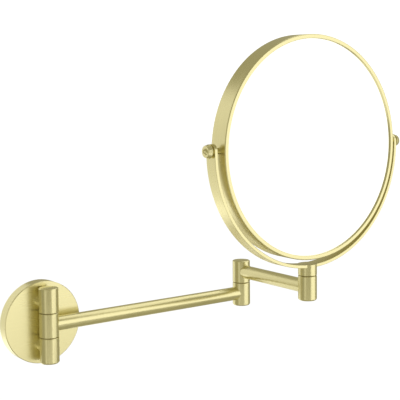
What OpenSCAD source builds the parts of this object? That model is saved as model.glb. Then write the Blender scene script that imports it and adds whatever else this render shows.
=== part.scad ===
// Extendable shaving mirror: a two-sided round mirror in a half-ring yoke, on a two-section arm
// that folds over itself, hinged to a round wall cover.
// +Z is up, the wall is the plane y = 0 and the mirror faces -Y.
// The origin is the centre of the bracket's back face, on the wall.

/* [Wall cover] */
// Outer diameter of the round cover
cover_d = 74; // [72:1:90]
// Distance that the cover's front stands off the wall
cover_depth = 11; // [10:0.5:13]
// Thickness of the cover's wall
cover_wall = 1.8; // [1.4:0.1:2.2]
// Distance between the two wall screws
screw_spacing = 40; // [34:1:44]
// Diameter of the holes for the wall screws
screw_hole_d = 5; // [4:0.5:6]

/* [Hinge barrels] */
// Outer diameter of every hinge barrel
barrel_d = 17.5; // [17:0.5:19]
// Height of one knuckle, from split to split
knuckle_h = 22; // [21:0.5:26]
// Distance from the wall to the wall hinge's axis
barrel_reach = 22; // [22:0.5:30]
// Extra length of each barrel's chamfered lower end
foot_h = 1.2; // [0.8:0.1:1.6]
// Diameter of the hinge pins
pin_d = 8; // [7:0.5:8]

/* [Arms] */
// Outer diameter of both arm tubes
tube_d = 13; // [10:0.5:14]
// Wall thickness of both arm tubes
tube_wall = 1.5; // [1:0.25:2]
// Distance from the wall hinge to the elbow hinge
inner_reach = 217.5; // [180:0.5:260]
// Distance from the elbow hinge to the yoke's swivel
outer_reach = 99; // [80:0.5:140]

/* [Mirror head] */
// Outer diameter of the mirror's rim
rim_d = 207; // [180:1:216]
// Front to back depth of the rim
rim_depth = 20; // [19.5:0.5:22]
// Width of the lip in front of the glass
lip_w = 3.9; // [3.4:0.1:4.5]
// Depth of the lip in front of the glass
lip_t = 1.4; // [1:0.1:2]
// Thickness of both mirror glasses
glass_t = 3; // [2:0.5:3]
// Radius of curvature of the magnifying glass
magnifier_r = 1000; // [900:50:1600]

/* [Yoke] */
// Width of the flat band
band_w = 12.8; // [11:0.2:14]
// Thickness of the flat band
band_t = 3; // [2:0.2:3.2]
// Gap between the rim and the band
band_gap = 5.1; // [4.5:0.1:8]
// Height of the mirror's centre above the inner arm
mirror_h = 152.4; // [152:0.2:160]
// Height of the pivots above the mirror's centre, which lets the mirror hang upright
pivot_rise = 1.3; // [0:0.1:2]

/* [Pivots] */
// Diameter of the two side knobs
knob_d = 12.4; // [11:0.2:15]
// Thickness of the two side knobs
knob_t = 4; // [3.5:0.5:7]
// Diameter of the pivot screws
pivot_d = 3; // [2.5:0.5:3]

/* [Hidden] */

$fn = 96;
wide_fn = 240;              // facets of the large rings
eps = 0.01;                 // overrun of a cut past the face it opens
running = 0.05;             // radial clearance of a turning fit
axial = 0.1;                // face to face clearance of a turning fit
split_gap = 0.5;            // groove between two knuckles
edge = 0.4;                 // eased edge of a knuckle at a split
brass = [0.80, 0.74, 0.50];
steel = [0.72, 0.73, 0.75];
nylon = [0.92, 0.91, 0.87];
silvered = [0.93, 0.95, 0.97];

// Hinge axes: wall, elbow and end of the arm; the centre of the mirror and of its pivot line
wall_at = [0, -barrel_reach, 0];
elbow_at = wall_at + [inner_reach, 0, 0];
end_at = elbow_at + [0, -outer_reach, 0];
mirror_at = end_at + [0, 0, mirror_h];
pivot_at = mirror_at + [0, 0, pivot_rise];

// Levels of the hinge barrels
split_z = knuckle_h / 2;    // between the wall hinge's upper and middle knuckles
outer_z = knuckle_h;        // the outer arm's axis
top_z = 3 * split_z;        // top of the wall and elbow barrels
half_gap = split_gap / 2;
barrel_r = barrel_d / 2;
pin_r = pin_d / 2;
bush_r = pin_r + 1;         // outer radius of the bushes
socket_r = 7;               // wide mouths of the barrels, for nuts and plugs
plug_r = 6.2;               // plugs in the pinned lower ends
plug_t = 2;
cap_t = 2;
cap_rise = 0.5;             // dome of the top caps
washer_r = barrel_r - 0.6;  // split washers lie back in their groove
washer_t = split_gap - axial;
spring_t = 0.5;             // disc springs: thickness, and total height when loaded
spring_h = 0.9;
spring_r = 6.4;

// Wall cover, bracket and studs
cover_r = cover_d / 2;
cover_edge = 0.5;
cover_gap = 0.3;            // between the cover's inside and the bracket
bracket_r = cover_r - cover_wall - cover_gap;
bracket_t = 2.5;
bracket_depth = 7.5;
bracket_wall = 2.5;
grub_r = 2;
grub_y = -bracket_depth + 2.9;
grub_tip = bracket_r - bracket_wall;
stud_z = 20;
stud_r = 7;
spigot_r = 2.5;             // stud's end inside the knuckle
spigot_in = 3;
stud_screw_r = 2;
stud_screw_in = 4;
stud_head_r = 3.6;
stud_head_t = 2;

// Mirror head
rim_r = rim_d / 2;
rim_wall = 2;
rim_edge = 0.9;
glass_r = rim_r - rim_wall - 0.2;
lip_r = rim_r - lip_w;
glass_y = rim_depth / 2 - lip_t;         // seat of both glasses, from the mirror's middle plane
glass_sag = magnifier_r - sqrt(pow(magnifier_r, 2) - pow(glass_r, 2));
spacer_w = 4.5;

// Yoke and pivots, measured outwards from the mirror's axis
band_in = rim_r + band_gap;
band_out = band_in + band_t;
band_edge = 0.25;
pivot_r = pivot_d / 2;
boss_r = 2.75;
boss_flange_r = 4.2;
boss_flange_t = 1.8;
boss_in = sqrt(pow(rim_r - rim_wall, 2) - pow(boss_flange_r + pivot_rise, 2)) - 0.02;
boss_out = band_in - axial;
collar_r = 3.3;             // hexagonal collar of the boss, beside the band
collar_w = 2;
friction_t = 1.4;
friction_r = 4.2;
knob_in = band_out + axial + friction_t;
knob_round = 0.6;
knob_taper = 0.8;           // how much the knob's radius shrinks towards its face
head_r = 2.8;               // domed heads of the pivot screws, with a cross recess
head_t = 2;
head_dome = 3;
head_cross_l = 3.8;
head_turn = 8;              // how far the cross is turned from upright
cross_l = 4.4;              // cross recess of the stud screws
cross_w = 0.9;
cross_deep = 1.1;

// End hinge: a shoulder bolt comes up through the end knuckle into the yoke's knuckle
end_low = split_z - foot_h;
end_split = top_z;
end_shoulder = end_low + 7;
bolt_head_t = 3.2;
bolt_head_r = 6.3;
bolt_grip = 5.5;            // depth of the bolt in the yoke's knuckle
bolt_head_top = end_shoulder - axial - spring_h;

// Elbow hinge: a pin fixed in the lower knuckle, with a nut above the upper knuckle's shoulder
elbow_shoulder = top_z - 7;
nut_low = elbow_shoulder + axial + spring_h;
nut_t = 3.2;
nut_r = 6.3;
elbow_pin_low = -split_z + 2;

module pipe(outer_r, inner_r, low, high) {
    difference() {
        translate([0, 0, low]) cylinder(r = outer_r, h = high - low);
        translate([0, 0, low - eps]) cylinder(r = inner_r, h = high - low + 2 * eps);
    }
}

// A solid knuckle about Z, with a chamfer at each end given as [inwards, along]
module knuckle(low, high, low_cut, high_cut) {
    rotate_extrude() polygon([
        [0, low], [barrel_r - low_cut[0], low], [barrel_r, low + low_cut[1]],
        [barrel_r, high - high_cut[1]], [barrel_r - high_cut[0], high], [0, high]
    ]);
}

module bore(r, low, high) {
    translate([0, 0, low]) cylinder(r = r, h = high - low);
}

// A disc spring, coned upwards to its middle
module disc_spring(low) {
    rise = spring_h - spring_t;
    rotate_extrude() polygon([
        [spring_r, low], [pin_r + running, low + rise],
        [pin_r + running, low + spring_h], [spring_r, low + spring_t]
    ]);
}

// A plug pressed into a barrel's lower end, with a hexagonal key socket
module end_plug_at(r, low) {
    key_r = 2.9;
    difference() {
        bore(r, low, low + plug_t);
        translate([0, 0, low - eps]) cylinder(r = key_r, h = plug_t / 2, $fn = 6);
    }
}

// A cap pressed into a barrel's top, slightly domed
module top_cap() {
    dome_r = (pow(socket_r, 2) + pow(cap_rise, 2)) / (2 * cap_rise);
    rotate_extrude() intersection() {
        translate([0, top_z - cap_t]) square([socket_r, cap_t + cap_rise]);
        translate([0, top_z + cap_rise - dome_r]) circle(r = dome_r, $fn = 720);
    }
}

foot_cut = [1.0, foot_h];
split_cut = [edge, edge];
top_cut = [0.7, 0.5];

// ---- Wall mount ----

module wall_bracket() {
    color(steel) difference() {
        rotate([90, 0, 0]) cylinder(r = bracket_r, h = bracket_depth, $fn = wide_fn);
        translate([0, -bracket_t, 0]) rotate([90, 0, 0])
            cylinder(r = bracket_r - bracket_wall, h = bracket_depth, $fn = wide_fn);
        for (side = [-1, 1]) translate([side * screw_spacing / 2, eps, 0]) rotate([90, 0, 0])
            cylinder(d = screw_hole_d, h = bracket_t + 2 * eps);
        translate([0, grub_y, -bracket_r - eps])
            cylinder(r = grub_r + 0.3, h = bracket_wall * 2);
    }
}

module wall_cover() {
    inner_r = cover_r - cover_wall;
    color(brass) difference() {
        rotate([90, 0, 0]) rotate_extrude($fn = wide_fn) polygon([
            [inner_r, 0.2], [cover_r, 0.2], [cover_r, cover_depth - cover_edge],
            [cover_r - cover_edge, cover_depth], [0, cover_depth],
            [0, cover_depth - cover_wall], [inner_r, cover_depth - cover_wall]
        ]);
        for (side = [-1, 1]) translate([0, -cover_depth - eps, side * stud_z]) rotate([-90, 0, 0])
            cylinder(r = stud_screw_r, h = cover_wall + 2 * eps);
        translate([0, grub_y, -cover_r - eps]) cylinder(r = grub_r, h = 2 * cover_wall);
    }
}

module cover_grub_screw() {
    length = cover_r - grub_tip - cover_wall / 4;
    color(steel) translate([0, grub_y, -grub_tip]) mirror([0, 0, 1]) difference() {
        cylinder(r = grub_r, h = length);
        translate([0, 0, length - 2]) cylinder(r = 1.15, h = 2 + eps, $fn = 6);
    }
}

module stud(side) {
    reach = barrel_reach - cover_depth;
    color(brass) translate([0, -cover_depth, side * stud_z]) difference() {
        rotate([90, 0, 0]) union() {
            cylinder(r = stud_r, h = reach);
            cylinder(r = spigot_r, h = reach - barrel_r + spigot_in);
        }
        // the wide part stops at the barrel's outside
        difference() {
            translate([0, -reach, -stud_r - 1]) cylinder(r = barrel_r, h = 2 * stud_r + 2);
            rotate([90, 0, 0]) cylinder(r = spigot_r, h = reach - barrel_r + spigot_in);
        }
        translate([0, eps, 0]) rotate([90, 0, 0]) cylinder(r = stud_screw_r, h = stud_screw_in);
    }
}

module stud_screw(side) {
    color(steel) translate([0, -cover_depth + cover_wall, side * stud_z]) difference() {
        union() {
            translate([0, stud_head_t, 0]) rotate([90, 0, 0])
                cylinder(r = stud_head_r, h = stud_head_t);
            rotate([90, 0, 0]) cylinder(r = stud_screw_r, h = cover_wall + stud_screw_in - 0.3);
        }
        for (turn = [0, 90]) translate([0, stud_head_t, 0]) rotate([0, turn, 0])
            cube([cross_l, 2 * cross_deep, cross_w], center = true);
    }
}

module wall_knuckle(side) {
    low = split_z + half_gap;
    high = side > 0 ? top_z : top_z + foot_h;
    pin_end = top_z - cap_t - 1;
    mouth = side > 0 ? socket_r : plug_r;
    color(brass) translate(wall_at) mirror([0, 0, side > 0 ? 0 : 1]) difference() {
        knuckle(low, high, split_cut, side > 0 ? top_cut : foot_cut);
        bore(pin_r, low - eps, pin_end + eps);
        bore(mouth, pin_end, high + eps);
        translate([0, barrel_r + eps, stud_z]) rotate([90, 0, 0])
            cylinder(r = spigot_r, h = spigot_in + eps);
    }
}

module wall_hinge_pin() {
    pin_end = top_z - cap_t - 1;
    color(steel) translate(wall_at) bore(pin_r, -pin_end, pin_end);
}

module wall_top_cap() {
    color(brass) translate(wall_at) top_cap();
}

module wall_end_plug() {
    color(brass) translate(wall_at) end_plug_at(plug_r, -top_z - foot_h + 0.3);
}

module wall_washer(side) {
    near = split_z + half_gap - washer_t;
    color(nylon) translate(wall_at) mirror([0, 0, side > 0 ? 0 : 1])
        pipe(washer_r, pin_r + running, near, split_z + half_gap);
}

// ---- Inner arm ----

module inner_arm_knuckle() {
    half = split_z - half_gap;
    color(brass) translate(wall_at) difference() {
        knuckle(-half, half, split_cut, split_cut);
        bore(bush_r, -half - eps, half + eps);
    }
}

module wall_hinge_bush() {
    half = split_z - half_gap;
    color(nylon) translate(wall_at) pipe(bush_r, pin_r + running, -half, half);
}

// A tube between two barrels, coped to fit against them
module arm_tube(length) {
    color(brass) difference() {
        rotate([0, 90, 0]) difference() {
            cylinder(d = tube_d, h = length);
            translate([0, 0, -eps]) cylinder(d = tube_d - 2 * tube_wall, h = length + 2 * eps);
        }
        for (x = [0, length]) translate([x, 0, -tube_d]) cylinder(r = barrel_r, h = 2 * tube_d);
    }
}

module inner_arm_tube() {
    translate(wall_at) arm_tube(inner_reach);
}

module elbow_lower_knuckle() {
    low = -split_z - foot_h;
    high = split_z - half_gap;
    color(brass) translate(elbow_at) difference() {
        knuckle(low, high, foot_cut, split_cut);
        bore(plug_r, low - eps, elbow_pin_low);
        bore(pin_r, elbow_pin_low - eps, high + eps);
    }
}

module elbow_pin() {
    color(steel) translate(elbow_at) bore(pin_r, elbow_pin_low, nut_low + nut_t - 0.2);
}

module elbow_washer() {
    low = split_z - half_gap;
    color(nylon) translate(elbow_at) pipe(washer_r, pin_r + running, low, low + washer_t);
}

module elbow_disc_spring() {
    color(steel) translate(elbow_at) disc_spring(elbow_shoulder + axial);
}

module elbow_lock_nut() {
    color(steel) translate(elbow_at) difference() {
        translate([0, 0, nut_low]) cylinder(r = nut_r, h = nut_t, $fn = 6);
        bore(pin_r, nut_low - eps, nut_low + nut_t + eps);
    }
}

module elbow_end_plug() {
    color(brass) translate(elbow_at) end_plug_at(plug_r, -split_z - foot_h + 0.3);
}

// ---- Outer arm ----

module elbow_upper_knuckle() {
    low = split_z + half_gap;
    color(brass) translate(elbow_at) difference() {
        knuckle(low, top_z, split_cut, top_cut);
        bore(bush_r, low - eps, elbow_shoulder + eps);
        bore(socket_r, elbow_shoulder, top_z + eps);
    }
}

module elbow_bush() {
    color(nylon) translate(elbow_at)
        pipe(bush_r, pin_r + running, split_z + half_gap, elbow_shoulder);
}

module elbow_top_cap() {
    color(brass) translate(elbow_at) top_cap();
}

module outer_arm_tube() {
    translate(elbow_at + [0, 0, outer_z]) rotate([0, 0, -90]) arm_tube(outer_reach);
}

module end_knuckle() {
    high = end_split - half_gap;
    color(brass) translate(end_at) difference() {
        knuckle(end_low, high, foot_cut, split_cut);
        bore(socket_r, end_low - eps, end_shoulder);
        bore(bush_r, end_shoulder - eps, high + eps);
    }
}

module end_bush() {
    color(nylon) translate(end_at)
        pipe(bush_r, pin_r + running, end_shoulder, end_split - half_gap);
}

module end_washer() {
    low = end_split - half_gap;
    color(nylon) translate(end_at) pipe(washer_r, pin_r + running, low, low + washer_t);
}

module end_plug() {
    color(brass) translate(end_at) end_plug_at(socket_r, end_low + 0.3);
}

// ---- Yoke ----

// A short solid cylinder across the mirror, along Y through its centre
module across(r, width) {
    translate(mirror_at) rotate([90, 0, 0])
        cylinder(r = r, h = width, center = true, $fn = wide_fn);
}

module yoke_knuckle() {
    low = end_split + half_gap;
    high = mirror_h - band_in + 3;
    color(brass) difference() {
        translate(end_at) knuckle(low, high, split_cut, [0, 0]);
        across(band_in, barrel_d + 2);
        across(band_out, band_w);
        translate(end_at) bore(pin_r, low - eps, low + bolt_grip);
    }
}

// Section of the band: x runs outwards from the mirror's centre, y across the band
module band_section(inner) {
    half = band_w / 2;
    polygon([
        [inner, -half + band_edge], [inner + band_edge, -half],
        [inner + band_t - band_edge, -half], [inner + band_t, -half + band_edge],
        [inner + band_t, half - band_edge], [inner + band_t - band_edge, half],
        [inner + band_edge, half], [inner, half - band_edge]
    ]);
}

// End of the band: a short upright piece, half-round about the pivot line
module band_end() {
    half = band_w / 2;
    linear_extrude(height = pivot_rise) band_section(band_in);
    translate([band_in, 0, pivot_rise]) rotate([0, 90, 0]) intersection() {
        rotate_extrude() polygon([
            [0, 0], [half - band_edge, 0], [half, band_edge],
            [half, band_t - band_edge], [half - band_edge, band_t], [0, band_t]
        ]);
        translate([-band_w, -band_w, -1]) cube([band_w, 2 * band_w, band_t + 2]);
    }
}

module yoke_band() {
    color(brass) translate(mirror_at) difference() {
        union() {
            rotate([90, 0, 0]) rotate([0, 0, 180])
                rotate_extrude(angle = 180, $fn = wide_fn) band_section(band_in);
            for (side = [0, 1]) mirror([side, 0, 0]) band_end();
        }
        for (side = [-1, 1]) translate([side * (band_in - 1), 0, pivot_rise])
            rotate([0, side * 90, 0]) cylinder(r = pivot_r + running, h = band_t + 2);
    }
}

module end_bolt() {
    key_r = 2.9;
    color(steel) translate(end_at) difference() {
        union() {
            bore(bolt_head_r, bolt_head_top - bolt_head_t, bolt_head_top);
            bore(pin_r, bolt_head_top - 1, end_split + half_gap + bolt_grip);
        }
        translate([0, 0, bolt_head_top - bolt_head_t - eps])
            cylinder(r = key_r, h = bolt_head_t - 1, $fn = 6);
    }
}

module end_disc_spring() {
    color(steel) translate(end_at) disc_spring(bolt_head_top);
}

// ---- Mirror head ----

// Turns a profile in (radius, depth towards the back) about the mirror's axis
module turned() {
    translate(mirror_at) rotate([-90, 0, 0]) rotate_extrude($fn = wide_fn) children();
}

module pivot_holes(r) {
    translate(pivot_at) for (side = [-1, 1]) translate([side * (rim_r - 10), 0, 0])
        rotate([0, side * 90, 0]) cylinder(r = r, h = 12);
}

module mirror_rim() {
    half = rim_depth / 2;
    color(brass) difference() {
        turned() {
            polygon([
                [lip_r + 0.3, -half], [rim_r - rim_edge, -half], [rim_r, -half + rim_edge],
                [rim_r, half - rim_edge], [rim_r - rim_edge, half], [rim_r - rim_wall, half],
                [rim_r - rim_wall, -half + lip_t], [lip_r, -half + lip_t], [lip_r, -half + 0.3]
            ]);
            for (side = [-1, 1]) translate([rim_r - rim_edge, side * (half - rim_edge)])
                circle(r = rim_edge);
        }
        pivot_holes(boss_r);
    }
}

module front_glass() {
    color(silvered) turned() translate([0, -glass_y]) square([glass_r, glass_t]);
}

module magnifying_glass() {
    centre = glass_y - glass_sag + magnifier_r;
    color(silvered) turned() difference() {
        intersection() {
            translate([0, glass_y - glass_t - glass_sag]) square([glass_r, glass_t + glass_sag]);
            translate([0, centre]) circle(r = magnifier_r + glass_t, $fn = 2880);
        }
        translate([0, centre]) circle(r = magnifier_r, $fn = 2880);
    }
}

module glass_spacer() {
    color(nylon) difference() {
        turned() translate([glass_r - spacer_w, glass_t - glass_y])
            square([spacer_w, 2 * glass_y - 2 * glass_t - 0.6]);
        pivot_holes(boss_flange_r + 0.3);
    }
}

module retaining_ring() {
    color(brass) turned() polygon([
        [lip_r, glass_y], [rim_r - rim_wall, glass_y], [rim_r - rim_wall, rim_depth / 2],
        [lip_r + 0.3, rim_depth / 2], [lip_r, rim_depth / 2 - 0.3]
    ]);
}

// Puts a part drawn outwards along +Z at one end of the pivot line
module at_pivot(side) {
    translate(pivot_at) rotate([0, side * 90, 0]) children();
}

module pivot_boss(side) {
    color(brass) at_pivot(side) difference() {
        union() {
            bore(boss_flange_r, boss_in - boss_flange_t, boss_in);
            bore(boss_r, boss_in - 1, boss_out);
            translate([0, 0, boss_out - collar_w]) cylinder(r = collar_r, h = collar_w, $fn = 6);
        }
        bore(pivot_r, boss_in - boss_flange_t - eps, band_in);
    }
}

module friction_washer(side) {
    color(brass) at_pivot(side)
        pipe(friction_r, pivot_r + running, knob_in - friction_t, knob_in);
}

module pivot_knob(side) {
    rear = knob_d / 2;
    front = rear - knob_taper;
    face = knob_in + knob_t;
    color(brass) at_pivot(side) difference() {
        rotate_extrude() {
            polygon([
                [0, knob_in], [rear - knob_round, knob_in], [rear, knob_in + knob_round],
                [front, face - knob_round], [front - knob_round, face], [0, face]
            ]);
            translate([rear - knob_round, knob_in + knob_round]) circle(r = knob_round);
            translate([front - knob_round, face - knob_round]) circle(r = knob_round);
        }
        bore(pivot_r + running, knob_in - eps, face + eps);
    }
}

module pivot_screw(side) {
    seat = knob_in + knob_t;
    color(brass) at_pivot(side) difference() {
        union() {
            bore(pivot_r, boss_in - boss_flange_t, seat + 0.5);
            rotate_extrude() intersection() {
                translate([0, seat]) square([head_r, head_t]);
                translate([0, seat + head_t - head_dome]) circle(r = head_dome);
            }
        }
        for (turn = [head_turn, head_turn + 90]) translate([0, 0, seat + head_t]) rotate([0, 0, turn])
            cube([head_cross_l, cross_w, 2 * cross_deep], center = true);
    }
}

wall_bracket();
wall_cover();
cover_grub_screw();
stud(1);  // upper_stud
stud(-1);  // lower_stud
stud_screw(1);  // upper_stud_screw
stud_screw(-1);  // lower_stud_screw
wall_knuckle(1);  // upper_wall_knuckle
wall_knuckle(-1);  // lower_wall_knuckle
wall_hinge_pin();
wall_top_cap();
wall_end_plug();
wall_washer(1);  // upper_wall_washer
wall_washer(-1);  // lower_wall_washer
inner_arm_knuckle();
wall_hinge_bush();
inner_arm_tube();
elbow_lower_knuckle();
elbow_pin();
elbow_washer();
elbow_disc_spring();
elbow_lock_nut();
elbow_end_plug();
elbow_upper_knuckle();
elbow_bush();
elbow_top_cap();
outer_arm_tube();
end_knuckle();
end_bush();
end_washer();
end_plug();
yoke_knuckle();
yoke_band();
end_bolt();
end_disc_spring();
mirror_rim();
front_glass();
glass_spacer();
magnifying_glass();
retaining_ring();
pivot_boss(-1);  // left_pivot_boss
pivot_boss(1);  // right_pivot_boss
friction_washer(-1);  // left_friction_washer
friction_washer(1);  // right_friction_washer
pivot_knob(-1);  // left_pivot_knob
pivot_knob(1);  // right_pivot_knob
pivot_screw(-1);  // left_pivot_screw
pivot_screw(1);  // right_pivot_screw
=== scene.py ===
import math

import bpy
from mathutils import Matrix, Vector


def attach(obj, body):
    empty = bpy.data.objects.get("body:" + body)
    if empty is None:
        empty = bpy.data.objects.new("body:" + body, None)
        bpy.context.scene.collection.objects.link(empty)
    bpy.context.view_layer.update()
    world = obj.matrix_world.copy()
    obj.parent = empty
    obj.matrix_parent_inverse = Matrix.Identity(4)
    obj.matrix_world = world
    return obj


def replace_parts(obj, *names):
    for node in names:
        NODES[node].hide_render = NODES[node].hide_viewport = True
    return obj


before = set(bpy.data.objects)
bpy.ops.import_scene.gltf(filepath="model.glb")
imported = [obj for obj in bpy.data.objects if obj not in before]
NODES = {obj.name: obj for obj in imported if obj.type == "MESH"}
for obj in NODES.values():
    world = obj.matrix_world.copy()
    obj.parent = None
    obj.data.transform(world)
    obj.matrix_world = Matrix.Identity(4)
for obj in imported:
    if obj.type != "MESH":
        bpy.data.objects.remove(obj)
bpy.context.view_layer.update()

# Hinge axes and the mirror's centre, as in the CAD, in metres
WALL = Vector((0.0, -0.022, 0.0))
ELBOW = Vector((0.2175, -0.022, 0.0))
END = Vector((0.2175, -0.121, 0.0))
MIRROR = Vector((0.2175, -0.121, 0.1524))
PIVOT = MIRROR + Vector((0, 0, 0.0013))

# ---- Camera ----

AZIMUTH, ELEVATION, ROLL = map(math.radians, (-36.15, 4.045, -0.47))


def make_camera():
    back = Vector((
        math.sin(AZIMUTH) * math.cos(ELEVATION),
        -math.cos(AZIMUTH) * math.cos(ELEVATION),
        math.sin(ELEVATION),
    ))
    level = Vector((math.cos(AZIMUTH), math.sin(AZIMUTH), 0))
    upright = back.cross(level)
    right = math.cos(ROLL) * level + math.sin(ROLL) * upright
    up = -math.sin(ROLL) * level + math.cos(ROLL) * upright
    data = bpy.data.cameras.new("camera")
    data.lens = 90.9
    data.sensor_width = 36
    data.shift_y = -0.125
    data.clip_end = 100
    camera = bpy.data.objects.new("camera", data)
    turn = Matrix((right, up, back)).transposed().to_4x4()
    camera.matrix_world = Matrix.Translation((-0.4110, -0.8133, 0.2162)) @ turn
    bpy.context.scene.collection.objects.link(camera)
    bpy.context.scene.camera = camera


# ---- Node helpers ----

class Tree:
    """Short names for building a node tree."""

    def __init__(self, owner):
        self.nodes = owner.node_tree.nodes
        self.links = owner.node_tree.links
        self.nodes.clear()

    def add(self, kind, *inputs, **settings):
        node = self.nodes.new(kind)
        for name, value in settings.items():
            setattr(node, name, value)
        for place, value in enumerate(inputs):
            self.put(node.inputs[place], value)
        return node

    def put(self, socket, value):
        if value is None:
            return
        if isinstance(value, bpy.types.NodeSocket):
            self.links.new(value, socket)
        else:
            socket.default_value = value

    def math(self, operation, *inputs):
        return self.add("ShaderNodeMath", *inputs, operation=operation).outputs[0]

    def vector(self, operation, *inputs):
        node = self.add("ShaderNodeVectorMath", *inputs, operation=operation)
        return node.outputs["Value"] if operation in ("DOT_PRODUCT", "LENGTH") else node.outputs[0]

    def map(self, value, low, high, to_low, to_high):
        return self.add("ShaderNodeMapRange", value, low, high, to_low, to_high).outputs[0]


# ---- Studio ----

# Softboxes round the object: degrees to the right of the camera, degrees up, width, height, brightness
SOFTBOXES = {
    "right_softbox": (70, 5, 1.9, 1.6, 0.9),
    "left_softbox": (-125, 0, 1.6, 2.4, 0.55),
    "high_softbox": (130, 50, 1.3, 1.3, 0.8),
    "front_fill": (20, -38, 2.0, 1.0, 0.65),
    "left_strip": (-32, 0, 0.5, 2.0, 0.45),
    "low_back": (-150, -35, 1.6, 1.0, 0.6),
}
DISTANCE = 1.6
AIM = Vector((0.15, -0.06, 0.08))
SURROUND = (0.40, 0.38, 0.26, 1)
BACKDROP = 1.15
FLOOR_HEIGHT = -1.4


def make_softbox(name, right, up, width, height, brightness):
    light = bpy.data.lights.new(name, "AREA")
    light.shape = "RECTANGLE"
    light.size = width
    light.size_y = height
    light.energy = brightness * math.pi * width * height
    box = bpy.data.objects.new(name, light)
    angle = math.radians(right - 90) + AZIMUTH
    up = math.radians(up)
    away = Vector((math.cos(angle) * math.cos(up), math.sin(angle) * math.cos(up), math.sin(up)))
    box.location = AIM + DISTANCE * away
    box.rotation_euler = away.to_track_quat("Z", "Y").to_euler()
    box.visible_camera = False
    bpy.context.scene.collection.objects.link(box)


def make_studio():
    """A white backdrop, the softboxes, and a dim warm surround that only reflections see."""
    world = bpy.data.worlds.new("studio")
    bpy.context.scene.world = world
    world.use_nodes = True
    t = Tree(world)
    surround = t.add("ShaderNodeBackground", SURROUND, 1.0).outputs[0]
    backdrop = t.add("ShaderNodeBackground", (1, 1, 1, 1), BACKDROP).outputs[0]
    mirrored = t.add("ShaderNodeLightPath").outputs["Is Glossy Ray"]
    t.add("ShaderNodeOutputWorld", t.add("ShaderNodeMixShader", mirrored, backdrop, surround).outputs[0])
    for name, settings in SOFTBOXES.items():
        make_softbox(name, *settings)


def make_floor():
    """A pale floor below all the lights, left out of reflections."""
    bpy.ops.mesh.primitive_plane_add(size=40, location=(0, 0, FLOOR_HEIGHT))
    floor = bpy.context.object
    floor.name = "floor"
    floor.visible_glossy = False
    material = bpy.data.materials.new("pale_floor")
    material.use_nodes = True
    t = Tree(material)
    surface = t.add("ShaderNodeBsdfDiffuse", (0.9, 0.9, 0.9, 1))
    t.add("ShaderNodeOutputMaterial", surface.outputs[0])
    floor.data.materials.append(material)


make_camera()
make_studio()
make_floor()

# ---- Magnifying glass ----


def dished_glass():
    """The magnifying glass on an even mesh, for clean reflections: its hollow face looks along +y."""
    deep, thick, edge, curve, rings, sides = 0.003456, 0.003, 0.1013, 1.0, 16, 144
    points, faces = [], []
    for at, radius, order in ((deep, curve, 1), (deep - thick, curve + thick, -1)):
        pole = len(points)
        points.append(MIRROR + Vector((0, at, 0)))
        for ring in range(1, rings + 1):
            r = edge * ring / rings
            y = at + radius - math.sqrt(radius ** 2 - r ** 2)
            for side in range(sides):
                angle = 2 * math.pi * side / sides
                points.append(MIRROR + Vector((r * math.cos(angle), y, -r * math.sin(angle))))
        for side in range(sides):
            after = (side + 1) % sides
            first = pole + 1
            faces.append((pole, first + side, first + after)[::order])
            for ring in range(rings - 1):
                inner, outer = first + ring * sides, first + (ring + 1) * sides
                faces.append((inner + side, outer + side, outer + after, inner + after)[::order])
    front, back = (1 + (rings - 1) * sides, 2 + rings * sides + (rings - 1) * sides)
    for side in range(sides):
        after = (side + 1) % sides
        faces.append((front + side, back + side, back + after, front + after))
    mesh = bpy.data.meshes.new("dished_glass")
    mesh.from_pydata(points, [], faces)
    mesh.shade_smooth()
    mesh.set_sharp_from_angle(angle=math.radians(30))
    piece = bpy.data.objects.new("dished_glass", mesh)
    bpy.context.scene.collection.objects.link(piece)
    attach(piece, "mirror_head")
    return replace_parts(piece, "magnifying_glass")


# ---- Materials ----


BRASS = (0.80, 0.742, 0.435)


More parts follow.
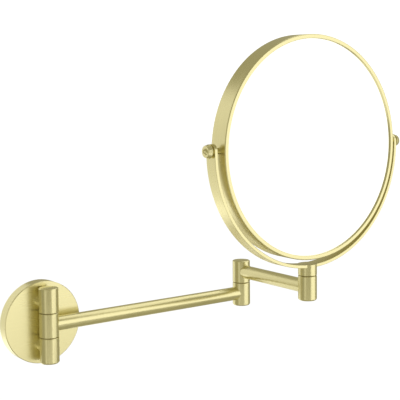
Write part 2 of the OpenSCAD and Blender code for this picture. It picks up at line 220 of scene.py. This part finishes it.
def brass(name, grain, centre, roughness=0.28, depth=0.012):
    """Brushed brass: grain x, y or z is straight lines along that axis, X, Y or Z is rings about it."""
    material = bpy.data.materials.new(name)
    material.use_nodes = True
    t = Tree(material)
    point = t.add("ShaderNodeTexCoord").outputs["Object"]
    local = t.vector("SUBTRACT", point, tuple(centre))
    fine, slow = 2600.0, 45.0  # noise per metre, across the grain and along it
    axis = [float(letter == grain.lower()) for letter in "xyz"]
    if grain.islower():
        stretch = [slow if a else fine for a in axis]
        place = t.vector("MULTIPLY", local, tuple(stretch))
        wide = t.vector("MULTIPLY", local, tuple(a / 6 for a in stretch))
        noise = t.add("ShaderNodeTexNoise", place, None, 1.0, 2.0, 0.6).outputs[0]
        broad = t.add("ShaderNodeTexNoise", wide, None, 1.0, 2.0, 0.6).outputs[0]
    else:
        high = t.vector("DOT_PRODUCT", local, tuple(axis))
        flat = t.vector("MULTIPLY", local, tuple(1 - a for a in axis))
        out = t.vector("LENGTH", flat)
        parts = t.add("ShaderNodeSeparateXYZ", t.vector("NORMALIZE", flat)).outputs
        first, second = [part for part, a in zip(parts, axis) if not a]

        def rings(scale, turns):
            place = t.add("ShaderNodeCombineXYZ", t.math("MULTIPLY", high, scale),
                          t.math("MULTIPLY", out, scale), t.math("MULTIPLY", first, turns)).outputs[0]
            return t.add("ShaderNodeTexNoise", place, t.math("MULTIPLY", second, turns), 1.0, 2.0, 0.6,
                         noise_dimensions="4D").outputs[0]
        noise = rings(fine, 3.0)
        broad = rings(fine / 6, 2.0)
    both = t.math("ADD", noise, broad)
    patina = t.add("ShaderNodeTexNoise", local, None, 28.0, 3.0, 0.5).outputs[0]
    rough = t.math("ADD", t.map(both, 0.6, 1.4, roughness - 0.03, roughness + 0.03),
                   t.map(patina, 0.3, 0.7, -0.012, 0.012))
    tint = t.add("ShaderNodeMix", t.math("ADD", t.map(both, 0.6, 1.4, 0.0, 0.7),
                                         t.map(patina, 0.3, 0.7, 0.0, 0.3)), data_type="RGBA")
    tint.inputs[6].default_value = (*[c * 0.965 for c in BRASS], 1)
    tint.inputs[7].default_value = (*[c * 1.03 for c in BRASS], 1)
    eased = t.add("ShaderNodeBevel", 0.0002, samples=4).outputs[0]
    bump = t.add("ShaderNodeBump")
    bump.inputs["Strength"].default_value = depth
    bump.inputs["Distance"].default_value = 0.0001
    t.put(bump.inputs["Height"], both)
    t.put(bump.inputs["Normal"], eased)
    surface = t.add("ShaderNodeBsdfPrincipled")
    t.put(surface.inputs["Base Color"], tint.outputs[2])
    t.put(surface.inputs["Roughness"], rough)
    t.put(surface.inputs["Normal"], bump.outputs[0])
    surface.inputs["Metallic"].default_value = 1.0
    t.add("ShaderNodeOutputMaterial", surface.outputs[0])
    return material


def plain(name, colour, roughness, metallic=0.0, shine=0.5):
    """Nylon or plated steel, with a little mottling in its gloss."""
    material = bpy.data.materials.new(name)
    material.use_nodes = True
    t = Tree(material)
    point = t.add("ShaderNodeTexCoord").outputs["Object"]
    noise = t.add("ShaderNodeTexNoise", point, None, 900.0, 3.0, 0.6).outputs[0]
    surface = t.add("ShaderNodeBsdfPrincipled")
    surface.inputs["Base Color"].default_value = (*colour, 1)
    surface.inputs["Metallic"].default_value = metallic
    surface.inputs["Specular IOR Level"].default_value = shine
    rough = t.map(noise, 0.3, 0.7, roughness * 0.85, roughness * 1.15)
    t.put(surface.inputs["Roughness"], rough)
    t.add("ShaderNodeOutputMaterial", surface.outputs[0])
    return material


def mirror(name):
    material = bpy.data.materials.new(name)
    material.use_nodes = True
    t = Tree(material)
    surface = t.add("ShaderNodeBsdfPrincipled")
    surface.inputs["Base Color"].default_value = (0.96, 0.96, 0.95, 1)
    surface.inputs["Metallic"].default_value = 1.0
    surface.inputs["Roughness"].default_value = 0.01
    t.add("ShaderNodeOutputMaterial", surface.outputs[0])
    return material


def dress(material, *names):
    for name in names:
        slots = NODES[name].data.materials
        slots.clear()
        slots.append(material)


dress(brass("cover_brass", "x", WALL, roughness=0.29, depth=0.014), "wall_cover")
dress(brass("wall_brass", "z", WALL), "upper_wall_knuckle", "lower_wall_knuckle", "inner_arm_knuckle")
dress(brass("wall_cap_brass", "Z", WALL), "wall_top_cap", "wall_end_plug")
dress(brass("elbow_brass", "z", ELBOW), "elbow_lower_knuckle", "elbow_upper_knuckle")
dress(brass("elbow_cap_brass", "Z", ELBOW), "elbow_top_cap", "elbow_end_plug")
dress(brass("end_brass", "z", END), "end_knuckle", "yoke_knuckle")
dress(brass("end_cap_brass", "Z", END), "end_plug")
dress(brass("inner_tube_brass", "x", WALL), "inner_arm_tube")
dress(brass("outer_tube_brass", "y", ELBOW), "outer_arm_tube", "upper_stud", "lower_stud")
dress(brass("rim_brass", "Y", MIRROR, depth=0.008), "mirror_rim", "retaining_ring", "yoke_band")
dress(brass("knob_brass", "X", PIVOT), "left_friction_washer", "right_friction_washer",
      "left_pivot_knob", "right_pivot_knob")
dress(brass("pivot_brass", "X", PIVOT, roughness=0.14), "left_pivot_boss", "right_pivot_boss",
      "left_pivot_screw", "right_pivot_screw")
dress(plain("zinc_steel", (0.55, 0.55, 0.56), 0.35, 1.0), "wall_bracket", "cover_grub_screw",
      "upper_stud_screw", "lower_stud_screw", "wall_hinge_pin", "elbow_pin", "elbow_disc_spring",
      "elbow_lock_nut", "end_bolt", "end_disc_spring")
dress(plain("dark_nylon", (0.15, 0.115, 0.045), 0.6, shine=0.15), "upper_wall_washer", "lower_wall_washer",
      "wall_hinge_bush", "elbow_washer", "elbow_bush", "end_bush", "end_washer", "glass_spacer")
silvered = mirror("silvered_glass")
dress(silvered, "front_glass")
dished_glass().data.materials.append(silvered)

bpy.context.scene.view_settings.view_transform = "Standard"
